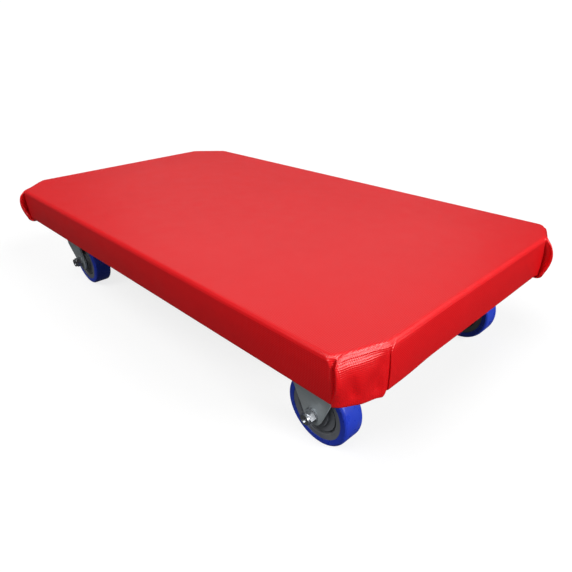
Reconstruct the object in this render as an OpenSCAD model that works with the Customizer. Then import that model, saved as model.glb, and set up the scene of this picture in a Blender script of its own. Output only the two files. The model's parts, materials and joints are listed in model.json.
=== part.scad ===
// Mechanics creeper: a padded board that rolls on two rigid and two swivel casters.
// +X is the front (rigid casters), +Y is the left side, Z = 0 is the floor.

/* [Board] */
// Length over the cover
board_l = 914; // [800:1:1100]
// Width over the cover
board_w = 483; // [440:1:560]
// Plywood thickness
deck_t = 18; // [16:1:24]
// Foam thickness
foam_t = 38; // [20:1:60]
// Cover material thickness
vinyl_t = 1; // [0.8:0.1:1.5]
// Width of the cover's hem under the deck
hem_w = 20; // [16:1:21]
// Front corner cut, measured along X
front_cut_x = 26; // [20:1:70]
// Front corner cut, measured along Y
front_cut_y = 58; // [20:1:70]
// Rear corner cut, measured along X
rear_cut_x = 60; // [20:1:70]
// Rear corner cut, measured along Y
rear_cut_y = 54; // [20:1:70]

/* [Casters] */
// Floor to the top of the caster plate
caster_h = 142; // [140:1:150]
// Front caster centres, from the middle of the board
front_x = 354; // [300:1:370]
// Rear kingpins, from the middle of the board
rear_x = 362; // [300:1:370]
// Caster centres, from the board's centre line
side_y = 171; // [120:1:176]
// Swivel offset from the kingpin to the axle
trail = 30; // [26:1:36]
// Yaw of the rear left caster at rest
rear_left_yaw = -14; // [-90:1:90]
// Yaw of the rear right caster at rest
rear_right_yaw = 0; // [-90:1:90]

/* [Wheels] */
// Tyre diameter, 4 in
wheel_d = 101.6; // [96:0.1:102]
// Tyre width, 1-1/4 in
wheel_w = 31.75; // [30:0.05:33]
// Radius of the seat between the core and the tyre
seat_r = 41; // [39:0.5:43]

/* [Hidden] */
$fn = 64;
axle_z = wheel_d / 2;
deck_z = caster_h;
foam_z = deck_z + deck_t;
pad_z = foam_z + foam_t;
cover_z = deck_z - vinyl_t;
cut = 1;

// caster plate
plate_l = 92;
plate_w = 70;
plate_t = 3;
plate_z = caster_h - plate_t;
plate_corner_r = 7;
hole_x = 37.5;
hole_y = 22.5;
bolt_hole_r = 4.3;

// caster bolts, washers and tee nuts (M8)
bolt_r = 4;
bolt_head_af = 13;
bolt_head_h = 5.3;
bolt_l = 20;
washer_r = 8;
washer_t = 1.6;
tee_flange_r = 11;
tee_flange_t = 1.3;
tee_barrel_r = 5.2;
tee_barrel_l = 10;
prong_l = 7;
prong_w = 2.4;

// legs of the bracket and fork
leg_t = 3;
leg_in = 19.5;
leg_out = leg_in + leg_t;
bracket_boss_r = 15.5;
fork_boss_r = 19;

// raceways round the kingpin
race_r = 25.2;
race_z = plate_z - 2.7;
ball_r = 2.5;
ball_n = 24;
low_race_r = 12;
low_ball_r = 2;
low_ball_n = 14;
crown_z = plate_z - 12;
crown_t = 3;
low_race_z = crown_z - low_ball_r - 0.05;
kingpin_r = 5;

// axle stack (M10), measured from the middle of the wheel
axle_r = 5;
axle_af = 16;
axle_head_h = 6.4;
axle_washer_r = 10;
axle_washer_t = 2;
nut_hex_h = 8.5;
nut_h = 12;
nut_collar_r = 7.6;
bolt_end_in = 1.5;
sleeve_r = 7.5;
sleeve_end = leg_in - 0.05;
hub_end = 17;
key_w = 5;
key_h = 2.5;
tyre_corner_r = 4.5;
shoulder_r = wheel_d / 2 - tyre_corner_r;
shoulder_w = wheel_w / 2 - tyre_corner_r;

// bearings (15 x 32 x 9)
bearing_r = 16;
bearing_w = 9;
bearing_out = 16.5;

// staples through the hem
staple_w = 10;
staple_wire = 1.2;
staple_crown = 0.6;
staple_leg = 8;
staple_pitch = 42;
staple_inset = 11;

// ---- Places ----

front_left = [front_x, side_y, 0];
front_right = [front_x, -side_y, 0];
rear_left = [-rear_x, side_y, 0];
rear_right = [-rear_x, -side_y, 0];
caster_places = [front_left, front_right, rear_left, rear_right];
front_left_yaw = 180;
front_right_yaw = 0;

// Puts a piece on a caster, turned about the caster's middle
module on_caster(place, yaw) {
    translate(place) rotate(yaw) children();
}

// Puts an axle or wheel piece on a swivel caster, behind the kingpin
module on_trail(place, yaw) {
    on_caster(place, yaw) translate([trail, 0, 0]) children();
}

// ---- Board ----

// Point on the Y side where a corner cut starts, with every edge moved in by inset
function cut_x(a, b, inset) =
    let (hx = board_l / 2, hy = board_w / 2, c = b * hx + a * hy - a * b - inset * norm([a, b]))
    (c - a * (hy - inset)) / b;

// Point on the X end where a corner cut stops
function cut_y(a, b, inset) =
    let (hx = board_l / 2, hy = board_w / 2, c = b * hx + a * hy - a * b - inset * norm([a, b]))
    (c - b * (hx - inset)) / a;

// Board outline with its four cut corners
module outline(inset) {
    hx = board_l / 2 - inset;
    hy = board_w / 2 - inset;
    fx = cut_x(front_cut_x, front_cut_y, inset);
    fy = cut_y(front_cut_x, front_cut_y, inset);
    rx = cut_x(rear_cut_x, rear_cut_y, inset);
    ry = cut_y(rear_cut_x, rear_cut_y, inset);
    polygon([[hx, -fy], [hx, fy], [fx, hy], [-rx, hy], [-hx, ry], [-hx, -ry], [-rx, -hy], [fx, -hy]]);
}

module board_prism(inset, z0, z1) {
    translate([0, 0, z0]) linear_extrude(z1 - z0) outline(inset);
}

module at_caster_bolts() {
    for (place = caster_places)
        for (sx = [-1, 1])
            for (sy = [-1, 1])
                translate(place + [sx * hole_x, sy * hole_y, 0]) children();
}

module deck_panel() color("burlywood")
    difference() {
        board_prism(vinyl_t, deck_z, foam_z);
        at_caster_bolts() {
            translate([0, 0, deck_z - cut])
                cylinder(r = tee_barrel_r + 0.1, h = deck_t + 2 * cut);
            translate([0, 0, foam_z - tee_flange_t])
                cylinder(r = tee_flange_r + 0.5, h = tee_flange_t + cut);
        }
    }

module foam_pad() color("gainsboro")
    board_prism(vinyl_t, foam_z, pad_z);

module vinyl_cover() color("crimson")
    difference() {
        board_prism(0, cover_z, pad_z + vinyl_t);
        board_prism(vinyl_t, deck_z, pad_z);
        board_prism(hem_w, cover_z - cut, deck_z + cut);
    }

// One staple with its crown along X
module staple() {
    translate([-staple_w / 2, -staple_wire / 2, cover_z - staple_crown])
        cube([staple_w, staple_wire, staple_crown]);
    for (side = [-1, 1])
        translate([side * (staple_w - staple_wire) / 2 - staple_wire / 2, -staple_wire / 2,
            cover_z - staple_crown])
            cube([staple_wire, staple_wire, staple_crown + staple_leg]);
}

// A straight run of staples between two points of the hem
module staple_run(from, to) {
    run = to - from;
    count = floor(norm(run) / staple_pitch);
    for (i = [0:count])
        translate(concat(from + run * (i + 0.5) / (count + 1), 0))
            rotate(atan2(run[1], run[0])) staple();
}

module cover_staples() color("silver") {
    hx = board_l / 2 - staple_inset;
    hy = board_w / 2 - staple_inset;
    fx = cut_x(front_cut_x, front_cut_y, staple_inset);
    fy = cut_y(front_cut_x, front_cut_y, staple_inset);
    rx = cut_x(rear_cut_x, rear_cut_y, staple_inset);
    ry = cut_y(rear_cut_x, rear_cut_y, staple_inset);
    for (side = [-1, 1]) {
        staple_run([-rx, side * hy], [fx, side * hy]);
        staple_run([fx, side * hy], [hx, side * fy]);
        staple_run([-rx, side * hy], [-hx, side * ry]);
    }
    staple_run([hx, -fy], [hx, fy]);
    staple_run([-hx, -ry], [-hx, ry]);
}

// Hexagonal prism, af across its flats
module hexagon(af, h) {
    cylinder(r = af / sqrt(3), h = h, $fn = 6);
}

module caster_bolts() color("silver")
    at_caster_bolts() {
        translate([0, 0, plate_z - washer_t - bolt_head_h]) hexagon(bolt_head_af, bolt_head_h);
        translate([0, 0, plate_z - washer_t - cut]) cylinder(r = bolt_r, h = bolt_l + cut);
    }

module bolt_washers() color("silver")
    at_caster_bolts()
        translate([0, 0, plate_z - washer_t])
            difference() {
                cylinder(r = washer_r, h = washer_t);
                translate([0, 0, -cut]) cylinder(r = bolt_r + 0.2, h = washer_t + 2 * cut);
            }

module tee_nuts() color("gold")
    at_caster_bolts() {
        difference() {
            union() {
                translate([0, 0, foam_z - tee_flange_t]) cylinder(r = tee_flange_r, h = tee_flange_t);
                translate([0, 0, foam_z - tee_barrel_l]) cylinder(r = tee_barrel_r, h = tee_barrel_l);
            }
            translate([0, 0, foam_z - tee_barrel_l - cut])
                cylinder(r = bolt_r + 0.05, h = tee_barrel_l + 2 * cut);
        }
        for (turn = [0:90:270])
            rotate(turn)
                translate([tee_flange_r - prong_w, -prong_w / 2, foam_z - tee_flange_t - prong_l])
                    cube([1, prong_w, prong_l + tee_flange_t / 2]);
    }

// ---- Brackets ----

// Flat plate with round corners and four bolt holes
module plate_blank(corner_r) {
    translate([0, 0, plate_z])
        linear_extrude(plate_t)
            difference() {
                union() {
                    square([plate_l - 2 * corner_r, plate_w], center = true);
                    square([plate_l, plate_w - 2 * corner_r], center = true);
                    for (sx = [-1, 1])
                        for (sy = [-1, 1])
                            translate([sx * (plate_l / 2 - corner_r), sy * (plate_w / 2 - corner_r)])
                                circle(corner_r);
                }
                for (sx = [-1, 1])
                    for (sy = [-1, 1])
                        translate([sx * hole_x, sy * hole_y]) circle(bolt_hole_r);
            }
}

// Where the tangent from a point at the side touches a circle of radius r on the axle
function touch(p, r, side) =
    let (away = acos(r / norm(p)), at = atan2(p[1], p[0]))
    r * [cos(at - side * away), sin(at - side * away)];

// Side outline of a leg: a boss round the axle that widens up to the given corners
module leg_outline(front, rear, top, r) {
    circle(r);
    last = len(rear) - 1;
    polygon([touch(front[0], r, 1), each front, [front[len(front) - 1][0], top], [rear[last][0], top],
        each [for (i = [last:-1:0]) rear[i]], touch(rear[0], r, -1), [0, 0]]);
}

// Stands a side outline drawn in X and Z upright, between two Y values
module upright(y0, y1) {
    translate([0, y1, axle_z]) rotate([90, 0, 0]) linear_extrude(y1 - y0) children();
}

module axle_hole() {
    translate([0, 0, axle_z])
        rotate([90, 0, 0]) cylinder(r = axle_r + 0.1, h = 4 * leg_out, center = true);
}

// Section of one leg of the rigid bracket: down from the plate's edge, in, and down past the wheel
module wall_section() {
    wall_out = plate_w / 2;
    top_z = plate_z + plate_t / 2;
    bend_z = plate_z - 11;
    low_z = axle_z + 44;
    polygon([[wall_out, top_z], [wall_out, bend_z], [leg_out, low_z], [leg_out, 0], [leg_in, 0],
        [leg_in, low_z + 0.5], [wall_out - leg_t, bend_z + 0.5], [wall_out - leg_t, top_z]]);
}

// One-piece rigid bracket: plate and two legs that lean in towards the wheel
module rigid_bracket() {
    corner_r = 3;
    shoulder_x = plate_l / 2 - corner_r - 2;
    difference() {
        union() {
            plate_blank(corner_r);
            for (side = [0, 1])
                mirror([0, side, 0])
                    intersection() {
                        translate([-plate_l / 2, 0, 0])
                            rotate([90, 0, 90]) linear_extrude(plate_l) wall_section();
                        upright(0, plate_w)
                            leg_outline([[shoulder_x, 52]], [[-shoulder_x, 52]], caster_h - axle_z,
                                bracket_boss_r);
                    }
        }
        axle_hole();
    }
}

// Plate of the swivel caster, pressed down into the upper raceway
module swivel_plate() {
    difference() {
        plate_blank(plate_corner_r);
        translate([0, 0, plate_z - cut]) cylinder(r = race_r - 1, h = plate_t + 2 * cut);
    }
    rotate_extrude()
        polygon([[kingpin_r, plate_z - 6], [race_r - 6.2, plate_z - 6], [race_r - 1.2, plate_z],
            [race_r, plate_z], [race_r, plate_z + plate_t], [race_r - 3.4, plate_z + plate_t],
            [race_r - 8.2, plate_z - 3], [kingpin_r, plate_z - 3]]);
}

// Kingpin with its riveted head in the raceway and its nut below the lower race
module kingpin() {
    translate([0, 0, crown_z - 10.5]) cylinder(r = kingpin_r, h = 20);
    translate([0, 0, plate_z - 3]) cylinder(r = 9, h = 3.5);
    translate([0, 0, crown_z - 11]) hexagon(16, 4.2);
}

// Cup under the fork that carries the lower balls
module lower_race() {
    floor_z = low_race_z - low_ball_r - 0.15;
    rotate_extrude()
        polygon([[kingpin_r, floor_z - 2.5], [17.5, floor_z - 2.5], [17.5, floor_z + 2.5],
            [15, floor_z + 2.5], [15, floor_z], [kingpin_r, floor_z]]);
}

module ball_ring(count, ring_r, r, z) {
    for (i = [0:count - 1])
        rotate(i * 360 / count) translate([ring_r, 0, z]) sphere(r, $fn = 32);
}

module upper_balls() {
    ball_ring(ball_n, race_r, ball_r, race_z);
}

module lower_balls() {
    ball_ring(low_ball_n, low_race_r, low_ball_r, low_race_z);
}

// Swivel fork: a dished crown on a flat saddle, with two legs that trail behind the kingpin
module swivel_fork() {
    rear = -22;
    front = 27;
    difference() {
        union() {
            rotate_extrude()
                polygon([[0, crown_z], [race_r - 2.8, crown_z], [race_r + 6.6, crown_z + 8.25],
                    [race_r + 4.9, crown_z + 10.2], [race_r - 3.3, crown_z + crown_t],
                    [0, crown_z + crown_t]]);
            translate([rear, -leg_out, crown_z]) cube([front - rear, 2 * leg_out, crown_t]);
            translate([trail, 0, 0])
                for (side = [0, 1])
                    mirror([0, side, 0])
                        upright(leg_in, leg_out)
                            leg_outline([[front - trail, 60]], [[rear - trail + 3, 26], [rear - trail, 46]],
                                crown_z + crown_t - axle_z, fork_boss_r);
        }
        translate([0, 0, crown_z - cut]) cylinder(r = kingpin_r + 0.8, h = crown_t + 2 * cut);
        translate([trail, 0, 0]) axle_hole();
    }
}

// ---- Axle and wheel, with the wheel's middle on the Z axis ----

// Turns a shape built along Z so that it lies along the axle, pointing to the right side
module along_axle() {
    translate([0, 0, axle_z]) rotate([90, 0, 0]) children();
}

module axle_bolt()
    along_axle() {
        translate([0, 0, -leg_out - axle_head_h]) hexagon(axle_af, axle_head_h);
        translate([0, 0, -leg_out - cut])
            cylinder(r = axle_r, h = 2 * leg_out + axle_washer_t + nut_h - bolt_end_in + cut);
    }

module axle_nut()
    along_axle()
        translate([0, 0, leg_out + axle_washer_t])
            difference() {
                union() {
                    hexagon(axle_af, nut_hex_h);
                    cylinder(r = nut_collar_r, h = nut_h);
                }
                translate([0, 0, -cut]) cylinder(r = axle_r + 0.05, h = nut_h + 2 * cut);
            }

module ring(r_in, r_out, h) {
    difference() {
        cylinder(r = r_out, h = h);
        translate([0, 0, -cut]) cylinder(r = r_in, h = h + 2 * cut);
    }
}

module axle_sleeve()
    along_axle()
        translate([0, 0, -sleeve_end]) ring(axle_r + 0.1, sleeve_r, 2 * sleeve_end);

// A thrust washer each side of the hub and one flat washer under the nut
module axle_washers()
    along_axle() {
        for (side = [0, 1])
            mirror([0, 0, side])
                translate([0, 0, hub_end + 0.3]) ring(sleeve_r + 0.05, 12.5, leg_in - hub_end - 0.4);
        translate([0, 0, leg_out]) ring(axle_r + 0.2, axle_washer_r, axle_washer_t);
    }

module bearings()
    along_axle()
        for (side = [0, 1])
            mirror([0, 0, side])
                translate([0, 0, bearing_out - bearing_w])
                    difference() {
                        ring(sleeve_r + 0.05, bearing_r, bearing_w);
                        translate([0, 0, bearing_w - 0.6]) ring(9.8, 13.6, cut);
                    }

// Half of the core's section: hub, face, groove, rim and the band that keys the tyre
pocket_w = bearing_out - bearing_w;
rim_w = wheel_w / 2 - 1;
core_half = [[9, pocket_w], [bearing_r, pocket_w], [bearing_r, hub_end], [20, hub_end], [21, 12],
    [29.4, 12.8], [30.2, 8], [31.8, 8], [32.6, rim_w - 0.8], [33.6, rim_w], [seat_r, rim_w],
    [seat_r, key_w], [seat_r + key_h, key_w]];

module wheel_core()
    along_axle()
        rotate_extrude($fn = 96)
            polygon([each core_half,
                each [for (i = [len(core_half) - 1:-1:0]) [core_half[i][0], -core_half[i][1]]]]);

module tyre()
    along_axle()
        rotate_extrude($fn = 128)
            difference() {
                union() {
                    translate([0, -wheel_w / 2]) square([shoulder_r, wheel_w]);
                    translate([0, -shoulder_w]) square([wheel_d / 2, 2 * shoulder_w]);
                    for (side = [-1, 1])
                        translate([shoulder_r, side * shoulder_w]) circle(tyre_corner_r);
                }
                translate([0, -wheel_w]) square([seat_r, 2 * wheel_w]);
                translate([seat_r - cut, -key_w]) square([cut + key_h, 2 * key_w]);
            }

// ---- Casters ----

module front_left_bracket() color("slategray") on_caster(front_left, front_left_yaw) rigid_bracket();
module front_left_axle_bolt() color("silver") on_caster(front_left, front_left_yaw) axle_bolt();
module front_left_axle_nut() color("silver") on_caster(front_left, front_left_yaw) axle_nut();
module front_left_axle_sleeve() color("silver") on_caster(front_left, front_left_yaw) axle_sleeve();
module front_left_axle_washers() color("silver") on_caster(front_left, front_left_yaw) axle_washers();
module front_left_tyre() color("royalblue") on_caster(front_left, front_left_yaw) tyre();
module front_left_wheel_core() color("dimgray") on_caster(front_left, front_left_yaw) wheel_core();
module front_left_bearings() color("gray") on_caster(front_left, front_left_yaw) bearings();

module front_right_bracket() color("slategray") on_caster(front_right, front_right_yaw) rigid_bracket();
module front_right_axle_bolt() color("silver") on_caster(front_right, front_right_yaw) axle_bolt();
module front_right_axle_nut() color("silver") on_caster(front_right, front_right_yaw) axle_nut();
module front_right_axle_sleeve() color("silver") on_caster(front_right, front_right_yaw) axle_sleeve();
module front_right_axle_washers() color("silver") on_caster(front_right, front_right_yaw) axle_washers();
module front_right_tyre() color("royalblue") on_caster(front_right, front_right_yaw) tyre();
module front_right_wheel_core() color("dimgray") on_caster(front_right, front_right_yaw) wheel_core();
module front_right_bearings() color("gray") on_caster(front_right, front_right_yaw) bearings();

module rear_left_top_plate() color("slategray") translate(rear_left) swivel_plate();
module rear_left_kingpin() color("silver") translate(rear_left) kingpin();
module rear_left_lower_race() color("silver") translate(rear_left) lower_race();
module rear_left_upper_balls() color("white") on_caster(rear_left, rear_left_yaw) upper_balls();
module rear_left_lower_balls() color("white") on_caster(rear_left, rear_left_yaw) lower_balls();
module rear_left_fork() color("slategray") on_caster(rear_left, rear_left_yaw) swivel_fork();
module rear_left_axle_bolt() color("silver") on_trail(rear_left, rear_left_yaw) axle_bolt();
module rear_left_axle_nut() color("silver") on_trail(rear_left, rear_left_yaw) axle_nut();
module rear_left_axle_sleeve() color("silver") on_trail(rear_left, rear_left_yaw) axle_sleeve();
module rear_left_axle_washers() color("silver") on_trail(rear_left, rear_left_yaw) axle_washers();
module rear_left_tyre() color("royalblue") on_trail(rear_left, rear_left_yaw) tyre();
module rear_left_wheel_core() color("dimgray") on_trail(rear_left, rear_left_yaw) wheel_core();
module rear_left_bearings() color("gray") on_trail(rear_left, rear_left_yaw) bearings();

module rear_right_top_plate() color("slategray") translate(rear_right) swivel_plate();
module rear_right_kingpin() color("silver") translate(rear_right) kingpin();
module rear_right_lower_race() color("silver") translate(rear_right) lower_race();
module rear_right_upper_balls() color("white") on_caster(rear_right, rear_right_yaw) upper_balls();
module rear_right_lower_balls() color("white") on_caster(rear_right, rear_right_yaw) lower_balls();
module rear_right_fork() color("slategray") on_caster(rear_right, rear_right_yaw) swivel_fork();
module rear_right_axle_bolt() color("silver") on_trail(rear_right, rear_right_yaw) axle_bolt();
module rear_right_axle_nut() color("silver") on_trail(rear_right, rear_right_yaw) axle_nut();
module rear_right_axle_sleeve() color("silver") on_trail(rear_right, rear_right_yaw) axle_sleeve();
module rear_right_axle_washers() color("silver") on_trail(rear_right, rear_right_yaw) axle_washers();
module rear_right_tyre() color("royalblue") on_trail(rear_right, rear_right_yaw) tyre();
module rear_right_wheel_core() color("dimgray") on_trail(rear_right, rear_right_yaw) wheel_core();
module rear_right_bearings() color("gray") on_trail(rear_right, rear_right_yaw) bearings();

deck_panel();
foam_pad();
vinyl_cover();
cover_staples();
caster_bolts();
bolt_washers();
tee_nuts();
front_left_bracket();
front_left_axle_bolt();
front_left_axle_nut();
front_left_axle_sleeve();
front_left_axle_washers();
front_left_tyre();
front_left_wheel_core();
front_left_bearings();
front_right_bracket();
front_right_axle_bolt();
front_right_axle_nut();
front_right_axle_sleeve();
front_right_axle_washers();
front_right_tyre();
front_right_wheel_core();
front_right_bearings();
rear_left_top_plate();
rear_left_kingpin();
rear_left_lower_race();
rear_left_upper_balls();
rear_left_lower_balls();
rear_left_fork();
rear_left_axle_bolt();
rear_left_axle_nut();
rear_left_axle_sleeve();
rear_left_axle_washers();
rear_left_tyre();
rear_left_wheel_core();
rear_left_bearings();
rear_right_top_plate();
rear_right_kingpin();
rear_right_lower_race();
rear_right_upper_balls();
rear_right_lower_balls();
rear_right_fork();
rear_right_axle_bolt();
rear_right_axle_nut();
rear_right_axle_sleeve();
rear_right_axle_washers();
rear_right_tyre();
rear_right_wheel_core();
rear_right_bearings();
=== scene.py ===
import json
import math

import bmesh
import bpy
import numpy as np
from mathutils import Matrix, Vector, noise
from mathutils.bvhtree import BVHTree
from mathutils.geometry import delaunay_2d_cdt


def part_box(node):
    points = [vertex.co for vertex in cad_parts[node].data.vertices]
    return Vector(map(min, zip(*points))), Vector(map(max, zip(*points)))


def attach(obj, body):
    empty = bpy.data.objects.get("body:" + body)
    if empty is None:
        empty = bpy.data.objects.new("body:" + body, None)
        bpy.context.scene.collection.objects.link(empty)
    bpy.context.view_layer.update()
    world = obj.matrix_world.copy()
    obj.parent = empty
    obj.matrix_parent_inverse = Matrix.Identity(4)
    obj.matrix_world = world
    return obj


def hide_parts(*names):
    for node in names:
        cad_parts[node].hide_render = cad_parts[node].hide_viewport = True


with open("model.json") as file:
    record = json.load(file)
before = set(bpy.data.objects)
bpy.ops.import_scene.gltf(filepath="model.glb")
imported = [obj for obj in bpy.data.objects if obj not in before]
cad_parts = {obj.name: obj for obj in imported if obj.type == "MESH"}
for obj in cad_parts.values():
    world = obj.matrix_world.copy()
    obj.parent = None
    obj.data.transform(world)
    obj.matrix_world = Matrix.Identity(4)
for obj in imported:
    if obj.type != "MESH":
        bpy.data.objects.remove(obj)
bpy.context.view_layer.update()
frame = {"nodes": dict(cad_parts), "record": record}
NODES = frame["nodes"]
MM = 0.001


# ---- Material nodes ----


class Shader:
    """A Principled material that is wired up with short calls."""

    def __init__(self, name, color, roughness, metallic=0.0, **sockets):
        self.material = bpy.data.materials.new(name)
        self.material.use_nodes = True
        self.tree = self.material.node_tree
        self.bsdf = self.tree.nodes["Principled BSDF"]
        self.base = (*color, 1)
        self.bsdf.inputs["Base Color"].default_value = self.base
        self.bsdf.inputs["Roughness"].default_value = roughness
        self.bsdf.inputs["Metallic"].default_value = metallic
        for socket, value in sockets.items():
            self.bsdf.inputs[socket.replace("_", " ")].default_value = value
        texture = self.node("ShaderNodeTexCoord")
        self.coords = texture.outputs["Object"]
        self.normals = texture.outputs["Normal"]
        self.last_normal = None
        self.color = None

    def node(self, kind, **settings):
        made = self.tree.nodes.new(kind)
        for key, value in settings.items():
            setattr(made, key, value)
        return made

    def link(self, source, target):
        self.tree.links.new(source, target)

    def feed(self, target, value):
        if isinstance(value, bpy.types.NodeSocket):
            self.link(value, target)
        else:
            target.default_value = value

    def math(self, operation, a, b=0.0, clamp=False):
        made = self.node("ShaderNodeMath", operation=operation, use_clamp=clamp)
        self.feed(made.inputs[0], a)
        self.feed(made.inputs[1], b)
        return made.outputs[0]

    def stretched(self, scale):
        made = self.node("ShaderNodeMapping")
        made.inputs["Scale"].default_value = scale
        self.link(self.coords, made.inputs["Vector"])
        return made.outputs["Vector"]

    def noise(self, scale, detail=4.0, stretch=None, distortion=0.0):
        made = self.node("ShaderNodeTexNoise")
        made.inputs["Scale"].default_value = scale
        made.inputs["Detail"].default_value = detail
        made.inputs["Distortion"].default_value = distortion
        self.link(self.stretched(stretch) if stretch else self.coords, made.inputs["Vector"])
        return made.outputs["Fac"]

    def span(self, value, low, high, to_low, to_high):
        made = self.node("ShaderNodeMapRange", clamp=True)
        self.link(value, made.inputs["Value"])
        for name, number in zip(("From Min", "From Max", "To Min", "To Max"), (low, high, to_low, to_high)):
            made.inputs[name].default_value = number
        return made.outputs["Result"]

    def tint(self, factor, color, blend="MIX"):
        """Mixes color over what the base colour is so far."""
        made = self.node("ShaderNodeMix", data_type="RGBA", blend_type=blend)
        self.feed(made.inputs["Factor"], factor)
        self.feed(made.inputs[6], self.color if self.color else self.base)
        self.feed(made.inputs[7], color if isinstance(color, bpy.types.NodeSocket) else (*color, 1))
        self.color = made.outputs[2]
        self.link(self.color, self.bsdf.inputs["Base Color"])
        return self

    def rough(self, value):
        self.link(value, self.bsdf.inputs["Roughness"])
        return self

    def bump(self, height, distance, strength=1.0):
        made = self.node("ShaderNodeBump")
        made.inputs["Strength"].default_value = strength
        made.inputs["Distance"].default_value = distance
        self.link(height, made.inputs["Height"])
        if self.last_normal:
            self.link(self.last_normal, made.inputs["Normal"])
        self.last_normal = made.outputs["Normal"]
        self.link(self.last_normal, self.bsdf.inputs["Normal"])
        return self


def red_vinyl():
    """PVC-coated cloth: the square scrim inside shows through as fine ribs in both directions. The grooves
    between the ribs carry painted shade.
    """
    pitch = 2.1 * MM
    s = Shader("red_vinyl", (0.86, 0.006, 0.01), 0.32, Specular_IOR_Level=0.42, Coat_Weight=0.08,
               Coat_Roughness=0.2)
    place = s.node("ShaderNodeSeparateXYZ")
    s.link(s.coords, place.inputs[0])
    facing = s.node("ShaderNodeSeparateXYZ")
    s.link(s.normals, facing.inputs[0])
    waver = s.span(s.noise(35, 2), 0.3, 0.7, 0, 2.2)
    total = 0.0
    for i, weight in enumerate((0.7, 0.7, 1.3)):
        rib = s.math("SINE", s.math("ADD", s.math("MULTIPLY", place.outputs[i], 2 * math.pi / pitch), waver))
        toward = s.math("MULTIPLY", s.math("POWER", facing.outputs[i], 2.0), weight)
        across = s.math("SUBTRACT", weight, toward)
        total = s.math("ADD", s.math("MULTIPLY", rib, across), total)
    scrim = s.span(total, -1.8, 1.8, 0, 1)
    grain = s.noise(1400, 3)
    s.tint(s.span(s.noise(9, 3), 0.3, 0.7, 0, 0.1), (0.7, 0.002, 0.004))
    # Painted shade: the low parts of the ribs are tinted darker, where shade would fall in the grooves
    s.tint(s.span(scrim, 0.1, 0.9, 0.22, 0.0), (0.5, 0.002, 0.004))
    s.rough(s.span(s.noise(30, 4), 0.3, 0.7, 0.3, 0.36))
    s.bump(scrim, 0.28 * MM, 1.0)
    s.bump(grain, 0.05 * MM, 0.6)
    return s.material


def vinyl_backing():
    s = Shader("vinyl_backing", (0.62, 0.58, 0.56), 0.9)
    s.tint(s.span(s.noise(500, 2), 0.35, 0.65, 0, 0.5), (0.42, 0.36, 0.35))
    s.bump(s.noise(900, 2), 0.1 * MM)
    return s.material


def foam():
    s = Shader("foam", (0.8, 0.77, 0.66), 0.95)
    cells = s.node("ShaderNodeTexVoronoi")
    cells.inputs["Scale"].default_value = 900
    s.link(s.coords, cells.inputs["Vector"])
    s.tint(s.span(cells.outputs["Distance"], 0.1, 0.6, 0.5, 0), (0.55, 0.5, 0.38))
    s.bump(cells.outputs["Distance"], 0.3 * MM)
    return s.material


def plywood():
    """Rotary-cut birch face: long flames along the board, fine pores and a few darker streaks."""
    s = Shader("plywood", (0.6, 0.41, 0.23), 0.62)
    flames = s.noise(3.5, 5, (1.2, 9, 9), 1.4)
    fine = s.noise(60, 4, (0.6, 14, 14))
    s.tint(s.span(flames, 0.35, 0.65, 0, 0.6), (0.42, 0.25, 0.12))
    s.tint(s.span(fine, 0.45, 0.75, 0, 0.35), (0.3, 0.17, 0.08))
    s.tint(s.span(s.noise(4, 2), 0.55, 0.75, 0, 0.3), (0.5, 0.36, 0.22))
    s.rough(s.span(fine, 0.3, 0.7, 0.55, 0.72))
    s.bump(fine, 0.15 * MM, 0.7)
    return s.material


def plated_steel(name, color, spot, roughness, brushed, metallic=1.0, dirt=(0.05, 0.045, 0.04)):
    """Plated steel with drawn lines, a cloudy plating and grime in patches."""
    s = Shader(name, color, roughness, metallic, Specular_IOR_Level=0.5)
    clouds = s.noise(70, 5)
    lines = s.noise(420, 3, brushed)
    s.tint(s.span(clouds, 0.35, 0.7, 0, 0.6), spot)
    s.tint(s.span(s.noise(26, 5), 0.56, 0.75, 0, 0.35), dirt)
    s.rough(s.span(s.math("ADD", clouds, lines), 0.7, 1.3, roughness - 0.08, roughness + 0.14))
    s.bump(lines, 0.03 * MM, 0.5)
    s.bump(s.noise(160, 3), 0.06 * MM, 0.5)
    return s.material


def blue_polyurethane():
    """Cast polyurethane: glossy and a little clear, with scuffs and fine mould texture."""
    s = Shader("blue_polyurethane", (0.022, 0.055, 0.6), 0.32, Specular_IOR_Level=0.5)
    s.tint(s.span(s.noise(34, 5), 0.42, 0.72, 0, 0.45), (0.04, 0.1, 0.7))
    s.tint(s.span(s.noise(120, 4), 0.6, 0.78, 0, 0.35), (0.1, 0.12, 0.3))
    s.rough(s.span(s.noise(90, 5), 0.35, 0.7, 0.24, 0.46))
    s.bump(s.noise(700, 3), 0.04 * MM, 0.6)
    return s.material


def grey_core():
    s = Shader("grey_core", (0.18, 0.19, 0.21), 0.45, Specular_IOR_Level=0.45)
    s.tint(s.span(s.noise(60, 4), 0.4, 0.7, 0, 0.5), (0.23, 0.24, 0.26))
    s.rough(s.span(s.noise(140, 4), 0.35, 0.7, 0.34, 0.55))
    s.bump(s.noise(1300, 2), 0.05 * MM, 0.6)
    return s.material


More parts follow.
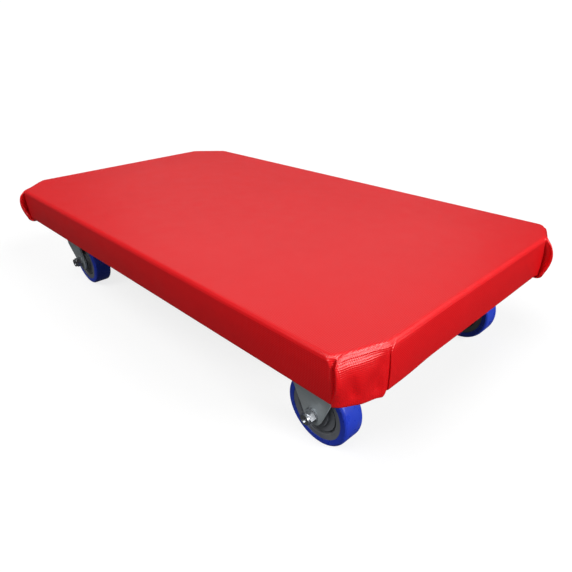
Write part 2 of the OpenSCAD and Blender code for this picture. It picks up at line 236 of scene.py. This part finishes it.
MATERIALS = {
    "red_vinyl": red_vinyl(),
    "foam": foam(),
    "plywood": plywood(),
    "pressed_steel": plated_steel("pressed_steel", (0.62, 0.68, 0.7), (0.52, 0.58, 0.61), 0.45, (1, 1, 12),
                                  metallic=0.5),
    "zinc_steel": plated_steel("zinc_steel", (0.62, 0.64, 0.66), (0.5, 0.53, 0.56), 0.3, (1, 14, 1)),
    "yellow_zinc": plated_steel("yellow_zinc", (0.7, 0.52, 0.2), (0.6, 0.5, 0.32), 0.34, (1, 1, 9)),
    "ball_steel": plated_steel("ball_steel", (0.7, 0.71, 0.73), (0.62, 0.63, 0.66), 0.16, (1, 1, 2)),
    "bearing_steel": plated_steel("bearing_steel", (0.3, 0.31, 0.33), (0.22, 0.23, 0.25), 0.36, (1, 9, 1)),
    "blue_polyurethane": blue_polyurethane(),
    "grey_core": grey_core(),
}
BACKING = vinyl_backing()
SLOT_OF = {row["node"]: row["material_slot"] for row in frame["record"]["subparts"]}
for name, obj in NODES.items():
    obj.data.materials.clear()
    obj.data.materials.append(MATERIALS[SLOT_OF[name]])


# ---- Cover ----

VINYL_T = 1 * MM
EDGE_R = 7 * MM
BOTTOM_R = 2.5 * MM
HEM = 20 * MM
FILLET = 8 * MM
POCKET = 0.6 * MM
STACK = 2.9 * MM
CROWN_SHARES = (0.25, 0.19, 0.125, 0.075, 0.035)
CROWN_INSET = 66 * MM
NET = 14 * MM
LONG_FADE = 60 * MM
UNDER_SPAN = 13 * MM
OVER_SPAN = 26 * MM
# Stretches of the outline shorter than this are the flaps across its cut corners
FLAP_LENGTH = 100 * MM
# The folds open out over this much cloth, from the rounded edge downwards
FOLD_START = 15 * MM
# The sides bulge by this much, and the top dips by as much towards its edge
SIDE_BULGE = 0.9 * MM

cover_low, cover_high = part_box("vinyl_cover")
TOP = cover_high.z
BOTTOM = cover_low.z
SIDE_DEPTH = TOP - BOTTOM
SPINE_X = cover_high.x - cover_high.y

# How each corner of the outline is folded: the layer on top, where its rolled edge starts and ends along
# its side and how far it bows away between them, how far the roll stands out halfway down and at the bottom
# and how far it reaches, how wide the fold stays open at its mouth, and how thick the folded layers are, all
# in millimetres
PLEATS = {
    (1, -1, "side"): dict(over="flap", start=0.3, end=0, bow=2.6, puff=5, foot=0.8, reach=8, mouth=5,
                          layers=2.9),
    (1, -1, "end"): dict(over="panel", start=0.3, end=-0.5, bow=0, puff=0, foot=0, reach=8, mouth=0,
                         layers=1.7),
    (1, 1, "end"): dict(over="flap", start=0.3, end=-6, bow=0, puff=8.8, foot=3, reach=14, mouth=9.5,
                        layers=2.9),
    (1, 1, "side"): dict(over="flap", start=1, end=4, bow=0, puff=2.2, foot=1.2, reach=8, mouth=1,
                         layers=2.9),
    (-1, 1, "side"): dict(over="flap", start=1, end=5, bow=0, puff=2.4, foot=1.2, reach=8, mouth=1,
                          layers=2.9),
    (-1, 1, "end"): dict(over="flap", start=0.5, end=3, bow=0, puff=3, foot=1.4, reach=8, mouth=2,
                         layers=2.9),
    (-1, -1, "end"): dict(over="flap", start=1, end=4, bow=0, puff=2.2, foot=1.4, reach=8, mouth=1,
                          layers=2.9),
    (-1, -1, "side"): dict(over="flap", start=0.3, end=0, bow=0, puff=7.5, foot=6, reach=12, mouth=8,
                           layers=2.9),
}
# How far the middle of each corner's flap stands out, and how far the flaps hang below the hem
BELLIES = {(1, -1): 2.5 * MM, (1, 1): 3 * MM, (-1, 1): 6 * MM, (-1, -1): 12 * MM}
HANG = 3.5 * MM


def smooth(x):
    x = min(max(x, 0.0), 1.0)
    return x * x * (3 - 2 * x)


def outline_points():
    """The eight corners of the cover's outline, anticlockwise from the rear right end."""
    corners = {(round(v.co.x, 5), round(v.co.y, 5)) for v in NODES["vinyl_cover"].data.vertices
               if TOP - v.co.z < 1e-5}
    return [np.array(p) for p in sorted(corners, key=lambda p: math.atan2(p[1], p[0]))]


class Pleat:
    """One corner of the outline, where the spare cloth is folded under the layer on top."""

    SLACK, INNER, MIDDLE, ROLL, OUTER = 6, 8, 9, 6, 9

    def __init__(self, before, at, after):
        self.at = at
        t_in = (at - before) / np.linalg.norm(at - before)
        t_out = (after - at) / np.linalg.norm(after - at)
        n_in, n_out = (np.array([t[1], -t[0]]) for t in (t_in, t_out))
        is_side = abs(at[1]) > cover_high.y - 1e-4
        key = (1 if at[0] > 0 else -1, 1 if at[1] > 0 else -1, "side" if is_side else "end")
        self.spec = {k: v * MM if k != "over" else v for k, v in PLEATS[key].items()}
        next_is_flap = abs(n_out[0]) > 1e-3 and abs(n_out[1]) > 1e-3
        self.outgoing_over = (self.spec["over"] == "flap") == next_is_flap
        self.turn_tan = math.tan(math.acos(float(t_in @ t_out)) / 2)
        hidden = self.INNER + 3 + self.MIDDLE
        self.thickness = [1] * self.SLACK + [0.15] * hidden + [1] * (self.ROLL + self.OUTER)
        if not self.outgoing_over:
            self.thickness.reverse()
        self.sides = [(t_in, n_in), (t_out, n_out)]
        self.spans = (UNDER_SPAN, OVER_SPAN)
        if not self.outgoing_over:
            self.sides = [(-t_out, n_out), (-t_in, n_in)]
            self.spans = (OVER_SPAN, UNDER_SPAN)
        self.normal_after = n_out

    def edge(self, f):
        """Where the rolled edge is along its side, at the share f of the way down."""
        slope = self.spec["end"] - self.spec["start"]
        return self.spec["start"] + slope * f + self.spec["bow"] * math.sin(math.pi * f ** 0.8)

    def over_lift(self, depth, x):
        """How far the layer on top stands out, at x past the corner."""
        f = min(depth / SIDE_DEPTH, 1.0)
        roll = self.spec["puff"] * math.sin(math.pi * f ** 1.1) ** 0.9 + self.spec["foot"] * f
        edge = self.edge(f)
        return self.spec["layers"] + roll * math.exp(-(max(x - edge - 2 * MM, 0) / self.spec["reach"]) ** 2)

    def folded(self, depth):
        """Points of the fold as (side, distance along it, distance out)."""
        f = min(depth / SIDE_DEPTH, 1.0)
        edge = self.edge(f)
        out = self.over_lift(depth, 0)
        mouth = POCKET + self.spec["mouth"] * math.sin(math.pi * f ** 1.1) ** 0.9
        r = (out - mouth) / 2
        deep = max(edge, 0) + max(min(depth * self.turn_tan, 2.2 * self.spec["reach"]), 2 * r + 1.5 * MM)
        points = [(0, x, 0) for x in np.linspace(-UNDER_SPAN, -0.8 * MM, self.SLACK)]
        points += [(1, x, 0) for x in np.linspace(1.2 * MM, deep - 0.3 * MM, self.INNER)]
        points += [(1, deep + 0.1 * MM * k, POCKET * (0.25 + 0.25 * i)) for i, k in enumerate((0, 1, 0))]
        for x in np.linspace(deep - 0.3 * MM, edge + r, self.MIDDLE):
            roof = max(min(mouth, self.over_lift(depth, x) - 1.3 * MM), POCKET)
            points.append((1, x, POCKET + (roof - POCKET) * smooth(2 * (deep - x) / (deep - edge - r))))
        for i in range(1, self.ROLL + 1):
            a = math.pi * i / (self.ROLL + 1)
            points.append((1, edge + r - r * math.sin(a), mouth + r - r * math.cos(a)))
        for x in np.linspace(edge + r, OVER_SPAN, self.OUTER):
            points.append((1, x, self.over_lift(depth, x)))
        return points

    def row(self, offset, depth, share):
        """Plan points, outward directions and lifts along one row, anticlockwise."""
        (ta, na), (tb, nb) = self.sides
        corner = self.at + offset * (nb - self.turn_tan * tb)
        folded = self.folded(depth)
        tangent = FILLET * self.turn_tan
        rows = []
        for i, (side, x, lift) in enumerate(folded):
            s = -UNDER_SPAN + (UNDER_SPAN + OVER_SPAN) * i / (len(folded) - 1)
            bend = min(max((s + tangent) / (2 * tangent), 0.0), 1.0)
            if abs(s) < tangent:
                open_at = corner - (1 - bend) ** 2 * tangent * ta + bend ** 2 * tangent * tb
            else:
                open_at = corner + s * (ta if s < 0 else tb)
            direction, normal = self.sides[side]
            point = open_at * (1 - share) + (corner + x * direction) * share
            facing = ((1 - bend) * na + bend * nb) * (1 - share) + normal * share
            rows.append((point, facing / np.linalg.norm(facing), lift * share))
        return rows if self.outgoing_over else rows[::-1]


def side_lift(x, length, first, last):
    fade = min(LONG_FADE, length)
    return first * (1 - smooth(x / fade)) + last * (1 - smooth((length - x) / fade))


def wobble(x, y, z, scale, amount):
    return noise.noise(Vector((x, y, z)) / scale) * amount


class Wrap:
    """The board's outline as rows of points that run round it, with or without the corner pleats."""

    def __init__(self, spacing, pleated=True):
        points = outline_points()
        self.pleated = pleated
        self.pleats = [Pleat(points[i - 1], points[i], points[(i + 1) % 8]) for i in range(8)]
        self.counts = []
        self.thickness = []
        for i, pleat in enumerate(self.pleats):
            after = self.pleats[(i + 1) % 8]
            gap = np.linalg.norm(after.at - pleat.at) - pleat.spans[1] - after.spans[0]
            self.counts.append(max(int(gap / (spacing if gap > FLAP_LENGTH else spacing / 2)), 3))
            self.thickness += pleat.thickness + [1] * (self.counts[-1] - 1)

    def row(self, offset, depth, share):
        share = share if self.pleated else 0.0
        corners = [pleat.row(offset, depth, share) for pleat in self.pleats]
        plan, facing, lift = [], [], []
        for i, corner in enumerate(corners):
            nearby = corners[(i + 1) % 8]
            for store, values in zip((plan, facing, lift), zip(*corner)):
                store += list(values)
            first, last = corner[-1][0], nearby[0][0]
            length = np.linalg.norm(last - first)
            for k in range(1, self.counts[i]):
                f = k / self.counts[i]
                plan.append(first * (1 - f) + last * f)
                facing.append(self.pleats[i].normal_after)
                lift.append(side_lift(f * length, length, corner[-1][2], nearby[0][2]))
        return np.array(plan), np.array(facing), np.array(lift)


def fill_ring(work, ring, height):
    """Closes a ring of vertices, thinned out first, with a net of triangles at the given heights."""
    bmesh.ops.remove_doubles(work, verts=ring, dist=NET / 3)
    ring = [v for v in ring if v.is_valid]
    grid = np.mgrid[-cover_high.x:cover_high.x:NET, -cover_high.y:cover_high.y:NET].reshape(2, -1).T
    grid = grid[edge_distance(grid) > CROWN_INSET + NET]
    plan = [v.co.xy for v in ring]
    points = plan + [Vector(p) for p in grid]
    spots, _, faces, origins, _, _ = delaunay_2d_cdt(points, [], [list(range(len(plan)))], 1, 1e-7)
    heights = height(np.array([tuple(p) for p in spots]))
    verts = []
    for spot, z, origin in zip(spots, heights, origins):
        known = [i for i in origin if i < len(ring)]
        verts.append(ring[known[0]] if known else work.verts.new((spot.x, spot.y, z), ring[0]))
    for face in faces:
        work.faces.new([verts[i] for i in face])


def add_mesh(name, rows, materials, thickness, top, bottom=None):
    """A mesh from rows of points that run round the board, closed over the first row and perhaps the last."""
    count = len(rows[0])
    faces = []
    for r in range(len(rows) - 1):
        for k in range(count):
            a, b = r * count + k, r * count + (k + 1) % count
            faces.append((a, a + count, b + count, b))
    mesh = bpy.data.meshes.new(name)
    mesh.from_pydata([tuple(v) for v in np.concatenate(rows)], [], faces)
    work = bmesh.new()
    work.from_mesh(mesh)
    group = work.verts.layers.deform.verify()
    verts = list(work.verts)
    for i, vert in enumerate(verts):
        vert[group][0] = thickness[i % count]
    fill_ring(work, verts[:count], top)
    if bottom:
        fill_ring(work, verts[-count:], bottom)
    bmesh.ops.delete(work, geom=[v for v in work.verts if not v.link_faces], context="VERTS")
    bmesh.ops.dissolve_degenerate(work, edges=list(work.edges), dist=1e-6)
    bmesh.ops.recalc_face_normals(work, faces=list(work.faces))
    work.to_mesh(mesh)
    work.free()
    for polygon in mesh.polygons:
        polygon.use_smooth = True
    obj = bpy.data.objects.new(name, mesh)
    obj.vertex_groups.new(name="thickness")
    bpy.context.scene.collection.objects.link(obj)
    for material in materials:
        mesh.materials.append(material)
    return obj


def edge_distance(plan):
    """Distance of plan points from the outline, measured inwards."""
    points = outline_points()
    best = np.full(len(plan), 1.0)
    for i in range(8):
        t = points[(i + 1) % 8] - points[i]
        t = t / np.linalg.norm(t)
        best = np.minimum(best, -((plan - points[i]) @ np.array([t[1], -t[0]])))
    return best


def top_height(plan, drop):
    """The cover's top: it follows the pad, a little lower towards its edge, with slow unevenness."""
    inward = edge_distance(plan)
    rise = np.array([smooth((d - EDGE_R) / (38 * MM)) for d in inward])
    slow = np.array([wobble(x, y, 0.3, 0.11, 0.35 * MM) + wobble(x, y, 1.7, 0.045, 0.12 * MM)
                     for x, y in plan])
    return TOP - drop - SIDE_BULGE * (1 - rise) + (slow + CROWN.at(plan) - 1.5 * MM) * rise


def flap_field(points, depth, inset):
    """Blows each corner's flap out and lets it hang below the hem. The front right one has its own hang."""
    f = min(depth / SIDE_DEPTH, 1.0)
    back = 1 - smooth(inset / (12 * MM))
    for i, pleat in enumerate(WRAP.pleats):
        a, b = pleat.at, WRAP.pleats[(i + 1) % 8].at
        length = np.linalg.norm(b - a)
        if length > FLAP_LENGTH:
            continue
        along = (b - a) / length
        out = np.array([along[1], -along[0]])
        u = (points[:, :2] - a) @ along / length
        close = (np.abs((points[:, :2] - a) @ out) < 40 * MM) & (u > -0.4) & (u < 1.4)
        belly = BELLIES[(1 if a[0] > 0 else -1, 1 if a[1] > 0 else -1)] * math.sin(math.pi * f)
        for k in np.flatnonzero(close):
            points[k, :2] += out * belly * smooth(u[k] / 0.3) * smooth((1 - u[k]) / 0.3)
        if a[0] > 0 > a[1]:
            hang_near_flap(points, u, close, out, f, back)
        else:
            points[close, 2] -= [HANG * f ** 4 * back * smooth((v + 0.15) / 0.15) * smooth((1.15 - v) / 0.15)
                                 for v in u[close]]
    return points


def bump(x, middle, width):
    return 0.5 + 0.5 * math.cos(math.pi * min(max((x - middle) / width, -1.0), 1.0))


def hang_near_flap(points, along, close, out, f, back):
    """The front right flap flares towards its foot, with a ridge between two hollows, a dent beside the end
    panel and a foot that hangs lower towards that side."""
    for k in np.flatnonzero(close):
        u = along[k]
        inside = smooth((u + 0.02) / 0.16) * smooth((1 - u) / 0.09)
        flare = 3 * MM * f ** 1.5
        low = smooth((f - 0.4) / 0.35) * (1 - 0.75 * smooth((f - 0.85) / 0.13))
        hollows = (bump(u, 0.24 + 0.14 * f, 0.14) + bump(u, 0.66 + 0.12 * f, 0.2)) * low
        dent = bump(u, 0.88, 0.2) * smooth((f - 0.2) / 0.3) * (1 - 0.6 * f) * smooth((1 - u) / 0.1)
        points[k, :2] += out * ((flare - 2.6 * MM * hollows) * inside - 2.6 * MM * dent) * back
        points[k, 2] -= max(10 * max(u, 0) ** 0.8 - 1, 0) * MM * f ** 4 * back * inside


def crown_ring(plan, share):
    """A ring of plan points drawn in towards the middle of the board."""
    spine = np.column_stack([np.clip(plan[:, 0], -SPINE_X, SPINE_X), np.zeros(len(plan))])
    return plan * (1 - share) + spine * share


def raised(plan, z):
    return np.column_stack([plan, np.broadcast_to(z, len(plan))])


def cover_rows():
    rows = []
    edge_plan = WRAP.row(-EDGE_R, 0, 0)[0]
    for share in CROWN_SHARES:
        plan = crown_ring(edge_plan, share)
        rows.append(raised(plan, top_height(plan, 0)))
    for i in range(8):
        a = math.pi / 2 * i / 7
        depth = EDGE_R * a
        plan, facing, lift = WRAP.row(-EDGE_R + EDGE_R * math.sin(a), depth, smooth(depth / FOLD_START))
        z = top_height(plan, EDGE_R - EDGE_R * math.cos(a) if i else 0)
        rows.append(raised(plan + facing * (lift * math.sin(a))[:, None], z + lift * math.cos(a)))
    steps = 15
    arc = EDGE_R * math.pi / 2
    for i in range(1, steps + 1):
        f = i / steps
        z = TOP - EDGE_R - f * (SIDE_DEPTH - EDGE_R - BOTTOM_R)
        depth = arc + (TOP - EDGE_R - z)
        bulge = SIDE_BULGE * math.sin(math.pi * f) + 0.3 * MM * smooth(f * 3)
        plan, facing, lift = WRAP.row(bulge, depth, smooth(depth / FOLD_START))
        pull = np.array([(wobble(x, y, z * 0.6, 0.05, 1.0 * MM) + wobble(x, y, z, 0.018, 0.35 * MM)) * f
                         for x, y in plan])
        plan = plan + facing * (lift + np.maximum(pull, -0.2 * MM))[:, None]
        rows.append(flap_field(raised(plan, z - SIDE_BULGE * (1 - f)), depth, 0))
    side_end = arc + SIDE_DEPTH - EDGE_R - BOTTOM_R
    for i in range(1, 5):
        a = math.pi / 2 * i / 4
        depth = side_end + BOTTOM_R * a
        plan, facing, lift = WRAP.row(-BOTTOM_R + BOTTOM_R * math.cos(a) + 0.3 * MM * (1 - i / 4), depth, 1)
        z = BOTTOM + BOTTOM_R - BOTTOM_R * math.sin(a) - np.minimum(lift, STACK) * math.sin(a)
        rows.append(flap_field(raised(plan + facing * (lift * math.cos(a))[:, None], z), depth, 0))
    hem_start = side_end + BOTTOM_R * math.pi / 2
    for inset in (2 * MM, 5 * MM, 9 * MM, 13 * MM, HEM - BOTTOM_R):
        plan, facing, lift = WRAP.row(-BOTTOM_R - inset, hem_start + inset, 1)
        rows.append(flap_field(raised(plan, BOTTOM - np.minimum(lift, STACK)), hem_start + inset, inset))
    return rows


def add_modifier(obj, kind, **settings):
    made = obj.modifiers.new(kind.title(), kind)
    for key, value in settings.items():
        setattr(made, key, value)
    return made


# ---- Foam pad ----

foam_low, foam_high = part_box("foam_pad")
PLAIN = Wrap(16 * MM, pleated=False)
SWELL = 2 * MM
FOAM_TOP = foam_high.z - SWELL - 1.0 * MM


def foam_rows():
    """A foam slab with soft edges that fills the cover above the deck."""
    gap = 3.2 * MM
    radius = EDGE_R - VINYL_T
    crown = FOAM_TOP
    edge_plan = PLAIN.row(-radius - gap, 0, 0)[0]
    rows = [raised(crown_ring(edge_plan, share), crown) for share in CROWN_SHARES]
    for i in range(5):
        a = math.pi / 2 * i / 4
        plan = PLAIN.row(-radius - gap + radius * math.sin(a), 0, 0)[0]
        rows.append(raised(plan, crown - radius + radius * math.cos(a)))
    for f in (0.2, 0.45, 0.7, 0.9):
        rows.append(raised(PLAIN.row(-gap, 0, 0)[0], crown - radius + f * (foam_low.z - crown + radius)))
    foot_plan = PLAIN.row(-gap - 0.6 * MM, 0, 0)[0]
    rows += [raised(crown_ring(foot_plan, share), foam_low.z) for share in (0, 0.02, 0.1, CROWN_SHARES[0])]
    return rows


def bake(obj):
    """Applies the object's modifiers to its mesh."""
    graph = bpy.context.evaluated_depsgraph_get()
    mesh = bpy.data.meshes.new_from_object(obj.evaluated_get(graph))
    obj.modifiers.clear()
    obj.data = mesh


def positions(mesh):
    flat = np.zeros(len(mesh.vertices) * 3, np.float32)
    mesh.vertices.foreach_get("co", flat)
    return flat.reshape(-1, 3)


def swell(obj):
    """Blows the foam up as cloth with its foot held to the deck. No point moves further than SWELL."""
    add_modifier(obj, "REMESH", mode="VOXEL", voxel_size=7 * MM, use_smooth_shade=True)
    bake(obj)
    rest = positions(obj.data)
    obj.vertex_groups.clear()
    held = obj.vertex_groups.new(name="held")
    held.add([i for i, point in enumerate(rest) if point[2] < foam_low.z + 5 * MM], 1, "REPLACE")
    cloth = add_modifier(obj, "CLOTH")
    cloth.settings.quality = 4
    cloth.settings.use_pressure = True
    cloth.settings.uniform_pressure_force = 4
    cloth.settings.vertex_group_mass = "held"
    cloth.settings.effector_weights.gravity = 0
    for step in range(1, 21):
        bpy.context.scene.frame_set(step)
    bake(obj)
    bpy.context.scene.frame_set(1)
    moved = positions(obj.data) - rest
    lengths = np.maximum(np.linalg.norm(moved, axis=1), 1e-6)
    obj.data.vertices.foreach_set("co", (rest + moved * np.minimum(1, SWELL / lengths)[:, None]).ravel())
    obj.data.update()


class Crown:
    """How far the pad's top stands above a level, smoothed over a grid."""

    STEP = 20 * MM

    def __init__(self, obj, level):
        faces = [tuple(p.vertices) for p in obj.data.polygons]
        tree = BVHTree.FromPolygons(positions(obj.data).tolist(), faces)
        self.low = -np.array(cover_high.xy)
        xs, ys = (np.arange(low, -low + self.STEP, self.STEP) for low in self.low)
        grid = np.array([(x, y) for x in xs for y in ys])
        hits = [tree.ray_cast(Vector((x, y, 1)), Vector((0, 0, -1)))[0] for x, y in grid]
        inside = edge_distance(grid) > 16 * MM
        rises = np.array([hit.z - level if hit and ok else np.nan for hit, ok in zip(hits, inside)])
        rises = np.where(np.isnan(rises), np.nanmean(rises), rises).reshape(len(xs), len(ys))
        for _ in range(3):
            wide = np.pad(rises, 1, mode="edge")
            rises = sum(wide[i:i + len(xs), j:j + len(ys)] for i in range(3) for j in range(3)) / 9
        self.rises = rises

    def at(self, plan):
        spot = np.clip((plan - self.low) / self.STEP, 0, np.array(self.rises.shape) - 1.001)
        i, j = spot.astype(int).T
        u, v = (spot % 1).T
        near = (1 - v) * self.rises[i, j] + v * self.rises[i, j + 1]
        far = (1 - v) * self.rises[i + 1, j] + v * self.rises[i + 1, j + 1]
        return (1 - u) * near + u * far


pad = add_mesh("pad", foam_rows(), [MATERIALS["foam"]], PLAIN.thickness,
               top=lambda plan: np.full(len(plan), FOAM_TOP),
               bottom=lambda plan: np.full(len(plan), foam_low.z))
swell(pad)
CROWN = Crown(pad, FOAM_TOP)
add_modifier(pad, "SUBSURF", levels=1, render_levels=1)
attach(pad, "board")
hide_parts("foam_pad")


# ---- Fitting the cover ----

WRAP = Wrap(8 * MM)
cover = add_mesh("cover", cover_rows(), [MATERIALS["red_vinyl"], BACKING], WRAP.thickness,
                 top=lambda plan: top_height(plan, 0))
add_modifier(cover, "SUBSURF", levels=1, render_levels=1)
add_modifier(cover, "SOLIDIFY", thickness=VINYL_T, offset=-1, material_offset=1, material_offset_rim=1,
             vertex_group="thickness")
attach(cover, "board")
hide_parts("vinyl_cover")


# ---- Floor, light and camera ----


def stage_mesh(name, mesh, material):
    obj = bpy.data.objects.new(name, mesh)
    bpy.context.scene.collection.objects.link(obj)
    mesh.materials.append(material)
    return obj


def disc(name, radius, z):
    work = bmesh.new()
    bmesh.ops.create_circle(work, cap_ends=True, segments=96, radius=radius)
    mesh = bpy.data.meshes.new(name)
    work.to_mesh(mesh)
    work.free()
    mesh.transform(Matrix.Translation((0, 0, z)))
    return mesh


def dome(name, radius):
    work = bmesh.new()
    bmesh.ops.create_uvsphere(work, u_segments=64, v_segments=32, radius=radius)
    mesh = bpy.data.meshes.new(name)
    work.to_mesh(mesh)
    work.free()
    return mesh


def glowing(name, color, albedo, glow):
    """A matte surface with a light of its own, so that shadows on it stay faint."""
    s = Shader(name, (albedo,) * 3, 0.9, Specular_IOR_Level=0.0)
    s.bsdf.inputs["Emission Color"].default_value = (*color, 1)
    s.bsdf.inputs["Emission Strength"].default_value = glow
    return s.material


WHITE = (1.0, 1.0, 1.0)
floor = stage_mesh("floor", disc("floor", 12, -0.0005), glowing("floor", WHITE, 0.24, 0.8))
backdrop = stage_mesh("backdrop", dome("backdrop", 14), glowing("backdrop", WHITE, 0.0, 1.05))
for ray in ("visible_diffuse", "visible_glossy", "visible_transmission", "visible_shadow"):
    setattr(backdrop, ray, False)
floor.visible_glossy = False
floor.visible_diffuse = False


def dim_sky():
    """A faint light from all round, a little stronger from above than from below."""
    world = bpy.data.worlds.new("studio")
    bpy.context.scene.world = world
    world.use_nodes = True
    tree = world.node_tree
    sky = tree.nodes.new("ShaderNodeTexCoord")
    axes = tree.nodes.new("ShaderNodeSeparateXYZ")
    fade = tree.nodes.new("ShaderNodeMapRange")
    for socket, value in (("From Min", -0.2), ("From Max", 0.2), ("To Min", 0.05), ("To Max", 0.11)):
        fade.inputs[socket].default_value = value
    tree.links.new(sky.outputs["Generated"], axes.inputs[0])
    tree.links.new(axes.outputs["Z"], fade.inputs["Value"])
    tree.links.new(fade.outputs["Result"], tree.nodes["Background"].inputs["Strength"])
    tree.nodes["Background"].inputs["Color"].default_value = (0.96, 0.98, 1.0, 1)


def aim(obj, position, target=(0, 0, 0.1)):
    obj.location = position
    obj.rotation_euler = (Vector(target) - Vector(position)).to_track_quat("-Z", "Y").to_euler()
    bpy.context.scene.collection.objects.link(obj)


def sun(name, direction, strength, spread):
    light = bpy.data.lights.new(name, "SUN")
    light.energy = strength
    light.angle = math.radians(spread)
    aim(bpy.data.objects.new(name, light), direction, (0, 0, 0))


def softbox(name, position, size, watts, target=(0, 0, 0.1)):
    light = bpy.data.lights.new(name, "AREA")
    light.shape = "RECTANGLE"
    light.size, light.size_y = size
    light.energy = watts
    obj = bpy.data.objects.new(name, light)
    aim(obj, position, target)
    obj.visible_camera = False
    return obj


dim_sky()
sun("key", (0.864, 0.184, 0.469), 2.65, 30)
sun("fill", (0.0, -0.5, 0.866), 1.95, 40)
softbox("near_box", (0.55, -0.85, 0.1), (0.3, 0.2), 0.25, (0.35, -0.2, 0.08))
softbox("edge_band", (0.98, 0.8, 1.47), (0.9, 0.9), 5, (0.45, 0, 0.19)).visible_diffuse = False
softbox("flap_band", (0.96, 0.05, 1.57), (0.5, 0.5), 16, (0.44, -0.21, 0.19)).visible_diffuse = False
softbox("sheen", (-1.3, 1.3, 1.9), (2.6, 2.0), 12).visible_diffuse = False

scene = bpy.context.scene
scene.view_settings.view_transform = "Standard"
scene.view_settings.look = "None"

CAMERA_AT = (0.6837, -0.5055, 0.4602)
AZIMUTH, ELEVATION, ROLL = (math.radians(a) for a in (44.441, 30.100, -0.972))
back = Vector((math.sin(AZIMUTH) * math.cos(ELEVATION), -math.cos(AZIMUTH) * math.cos(ELEVATION),
               math.sin(ELEVATION)))
right = (-back).cross(Vector((0, 0, 1))).normalized()
up = right.cross(-back)
right, up = (right * math.cos(ROLL) + up * math.sin(ROLL), up * math.cos(ROLL) - right * math.sin(ROLL))
lens = bpy.data.cameras.new("camera")
lens.sensor_width = 36
lens.lens = 30.44
lens.shift_x = -0.0667
lens.shift_y = 0.0446
camera = bpy.data.objects.new("camera", lens)
turned = Matrix((right, up, back)).transposed().to_4x4()
camera.matrix_world = Matrix.Translation(CAMERA_AT) @ turned
scene.collection.objects.link(camera)
scene.camera = camera
